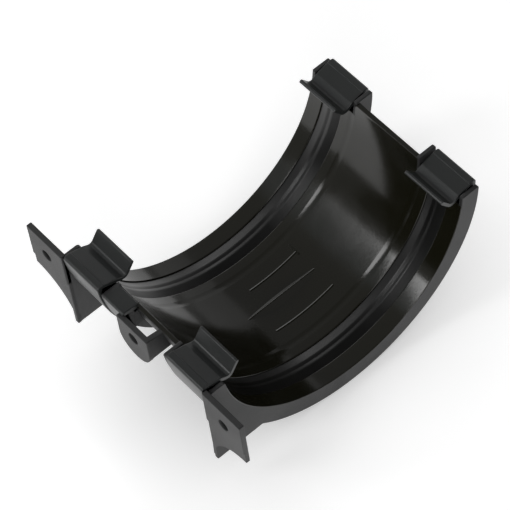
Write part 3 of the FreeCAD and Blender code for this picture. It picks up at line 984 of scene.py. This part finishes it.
class BRACKET_OT_moulding(Operator):
    """Joins the parts into the one black moulding"""

    bl_idname = "bracket.moulding"
    bl_label = "Join Moulding"

    def execute(self, context):
        home = bpy.data.collections[PARTS]
        work = bmesh.new()
        mesh = bpy.data.meshes.new("bracket_moulding")
        for part in list(home.objects):
            first = len(work.faces)
            work.from_mesh(part.data)
            work.faces.ensure_lookup_table()
            finish = part.data.materials[0]
            for face in work.faces[first:]:
                textured = finish == gloss() and outside(face)
                face.material_index = self.slot(mesh, satin() if textured else finish)
            bpy.data.objects.remove(part)
        bpy.data.collections.remove(home)
        shade(work)
        work.to_mesh(mesh)
        work.free()
        piece = show(mesh)
        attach(piece, "root")
        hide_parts("bracket")
        return {"FINISHED"}

    def slot(self, mesh, finish):
        if finish.name not in mesh.materials:
            mesh.materials.append(finish)
        return mesh.materials.find(finish.name)


def outside(face):
    """Whether a face of the trough looks away from the axis."""
    away = face.calc_center_median() - AXIS
    away.x = 0
    return face.normal.dot(away.normalized()) > 0.3


def shade(work):
    """Smooth faces, with a hard line wherever two faces meet at a sharp angle."""
    for face in work.faces:
        face.smooth = True
    for line in work.edges:
        line.smooth = line.calc_face_angle(0) < SHARP


def show(mesh):
    """Puts a finished mesh into the scene; large faces lead the shading of the rounded edges beside them."""
    piece = bpy.data.objects.new(mesh.name, mesh)
    bpy.context.scene.collection.objects.link(piece)
    normals = piece.modifiers.new("Weighted Normals", "WEIGHTED_NORMAL")
    normals.keep_sharp = True
    return piece


class BRACKET_OT_seals(Operator):
    """Builds the two lobed rubber seals in their grooves"""

    bl_idname = "bracket.seals"
    bl_label = "Seals"

    def execute(self, context):
        size = settings().seal
        trough = settings().trough
        inner = trough.inner_radius
        middle = trough.end - size.setback - size.width / 2
        start = -math.pi / 2 - size.sweep / 2
        for node_name, side in (("seal_left", -1), ("seal_right", 1)):
            section = fillet(self.section(side * middle))
            mesh = strip(node_name + "_strip", section, inner, start, size.sweep, 150, rubber())
            work = bmesh.new()
            work.from_mesh(mesh)
            shade(work)
            work.to_mesh(mesh)
            work.free()
            piece = show(mesh)
            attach(piece, "root")
            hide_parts(node_name)
        return {"FINISHED"}

    def section(self, middle):
        """Corners of the strip's section in (X, radius): a flat foot, sloping shoulders and two ridges."""
        size = settings().seal
        inner = settings().trough.inner_radius
        half = size.width / 2 - size.fit
        foot = inner + size.depth - size.fit
        edge = foot - size.edge
        crown = inner - size.proud
        far = (size.pitch + size.flat) / 2
        near = (size.pitch - size.flat) / 2
        shoulder = ((half, edge, 0.0002), (far, crown, 0.0004))
        return (
            [(middle - half, foot, 0.0002), (middle + half, foot, 0.0002)]
            + [(middle + reach, radius, rounding) for reach, radius, rounding in shoulder]
            + [(middle + near, crown, 0.0004)]
            + [(middle, crown + size.valley, 0.0006)]
            + [(middle - near, crown, 0.0004)]
            + [(middle - reach, radius, rounding) for reach, radius, rounding in reversed(shoulder)]
        )


class BRACKET_OT_stage(Operator):
    """Sets the white table, the soft lights and the camera"""

    bl_idname = "bracket.stage"
    bl_label = "Stage"

    def execute(self, context):
        size = settings().stage
        self.table(size)
        self.room(size)
        centre = (CAD_LOW + CAD_HIGH) / 2
        for name, away, width, height, power, tint in LAMPS:
            self.lamp(name, centre, Vector(away), width, height, power, tint)
        self.camera(size)
        return {"FINISHED"}

    def table(self, size):
        mesh = bpy.data.meshes.new("table")
        corners = ((-1, -1), (1, -1), (1, 1), (-1, 1))
        points = [(x * TABLE_REACH, y * TABLE_REACH, CAD_LOW.z) for x, y in corners]
        mesh.from_pydata(points, [], [(0, 1, 2, 3)])
        material = bpy.data.materials.new("white_table")
        material.use_nodes = True
        shader = material.node_tree.nodes["Principled BSDF"]
        shader.inputs["Base Color"].default_value = (*size.table, 1)
        shader.inputs["Roughness"].default_value = 0.6
        shader.inputs["Specular IOR Level"].default_value = 0.2
        self.lift(material.node_tree, shader, size)
        mesh.materials.append(material)
        table = bpy.data.objects.new("table", mesh)
        bpy.context.scene.collection.objects.link(table)

    def lift(self, tree, shader, size):
        """Lifts the table to white where it is seen, less near the bracket as a painted shadow, and lights
        nothing.
        """
        path = node(tree, "ShaderNodeLightPath")
        seen = maths(tree, "MAXIMUM")
        # Ambient occlusion darkens the table's glow near the bracket: a painted shadow on the table.
        painted_shadow = node(tree, "ShaderNodeAmbientOcclusion", Distance=size.shade)
        painted_shadow.samples = 8
        depth = node(tree, "ShaderNodeMapRange", To_Min=size.glow * size.shaded, To_Max=size.glow)
        level = maths(tree, "MULTIPLY")
        link(tree, path, "Is Camera Ray", seen, 0, path, "Is Glossy Ray", seen, 1)
        link(tree, painted_shadow, "AO", depth, "Value", seen, 0, level, 0)
        link(tree, depth, 0, level, 1, level, 0, shader, "Emission Strength")
        shader.inputs["Emission Color"].default_value = (1, 1, 1, 1)

    def room(self, size):
        world = bpy.data.worlds.new("room")
        world.use_nodes = True
        tree = world.node_tree
        light = tree.nodes["Background"]
        light.inputs["Color"].default_value = (1, 1, 1, 1)
        place = node(tree, "ShaderNodeTexCoord")
        parts = node(tree, "ShaderNodeSeparateXYZ")
        level = node(
            tree, "ShaderNodeMapRange",
            From_Min=ROOM_FADE[0], From_Max=ROOM_FADE[1], To_Min=size.room, To_Max=size.room * ROOM_DIM,
        )
        path = node(tree, "ShaderNodeLightPath")
        seen = maths(tree, "MAXIMUM")
        link(tree, place, "Generated", parts, 0, parts, "X", level, "Value")
        link(tree, level, 0, seen, 0, path, "Is Camera Ray", seen, 1)
        link(tree, seen, 0, light, "Strength")
        bpy.context.scene.world = world
        bpy.context.scene.view_settings.view_transform = "Standard"

    def lamp(self, name, centre, away, width, height, power, tint):
        data = bpy.data.lights.new(name, "AREA")
        data.color = tint
        data.shape = "RECTANGLE"
        data.size = width
        data.size_y = height
        data.energy = power
        lamp = bpy.data.objects.new(name, data)
        lamp.location = centre + away
        lamp.rotation_euler = (-away).to_track_quat("-Z", "Y").to_euler()
        bpy.context.scene.collection.objects.link(lamp)

    def camera(self, size):
        data = bpy.data.cameras.new("camera")
        data.lens = size.lens
        data.sensor_width = 36
        back = Vector((
            math.sin(size.azimuth) * math.cos(size.elevation),
            -math.cos(size.azimuth) * math.cos(size.elevation),
            math.sin(size.elevation),
        ))
        turned = (-back).to_track_quat("-Z", "Y").to_matrix() @ Matrix.Rotation(-size.roll, 3, "Z")
        data.clip_start = 0.05
        data.clip_end = 20
        camera = bpy.data.objects.new("camera", data)
        camera.location = Vector(size.aim) + back * size.distance
        camera.rotation_euler = turned.to_euler()
        bpy.context.scene.collection.objects.link(camera)
        bpy.context.scene.camera = camera


class BRACKET_PT_panel(Panel):
    """Sizes, finishes and steps of the bracket"""

    bl_idname = "BRACKET_PT_panel"
    bl_label = "Gutter Union Bracket"
    bl_space_type = "VIEW_3D"
    bl_region_type = "UI"
    bl_category = "Bracket"

    def draw(self, context):
        for group in ("trough", "collar", "clip", "seal", "fascia", "finish", "stage"):
            box = self.layout.box()
            box.label(text=group.capitalize())
            values = getattr(settings(), group)
            for name in values.__annotations__:
                box.prop(values, name)
        for step in STEPS:
            self.layout.operator(step.bl_idname)


STEPS = (
    BRACKET_OT_trough,
    BRACKET_OT_collars,
    BRACKET_OT_clips,
    BRACKET_OT_ears,
    BRACKET_OT_lug,
    BRACKET_OT_moulding,
    BRACKET_OT_seals,
    BRACKET_OT_stage,
)
GROUPS = (TroughSizes, CollarSizes, ClipSizes, SealSizes, FasciaSizes, Finish, StageSettings, BracketSettings)
CLASSES = GROUPS + STEPS + (BRACKET_PT_panel,)


def register():
    for item in CLASSES:
        bpy.utils.register_class(item)
    bpy.types.Scene.gutter_bracket = PointerProperty(type=BracketSettings)


def unregister():
    del bpy.types.Scene.gutter_bracket
    for item in reversed(CLASSES):
        bpy.utils.unregister_class(item)


def main():
    register()
    for step in STEPS:
        group, name = step.bl_idname.split(".")
        getattr(getattr(bpy.ops, group), name)()


if __name__ == "__main__":
    main()
